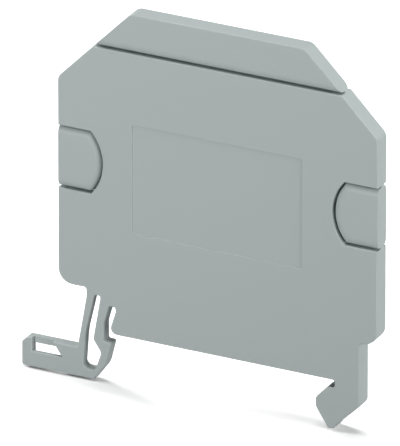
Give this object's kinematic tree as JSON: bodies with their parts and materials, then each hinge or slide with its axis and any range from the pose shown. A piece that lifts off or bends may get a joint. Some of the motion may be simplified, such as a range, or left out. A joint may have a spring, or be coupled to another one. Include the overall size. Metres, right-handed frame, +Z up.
{
  "type": "terminal block partition plate",
  "caption": "Flat moulded plate with break-out fields and a bare label panel that snaps on a mounting rail with a fixed hook and a sprung latch foot, to part rows of terminal blocks.",
  "frame": {"origin": "middle of the rail's top surface, in the plate's middle plane", "axes": "+X across the plate towards the hook, +Y from the front face to the rear face, +Z up and away from the rail"},
  "size_m": [0.0547, 0.0028, 0.0561],
  "materials": {
    "plate_plastic": "fine matt moulded surface, grey"
  },
  "bodies": {
    "root": {"partition_plate": "plate_plastic"}
  },
  "joints": []
}
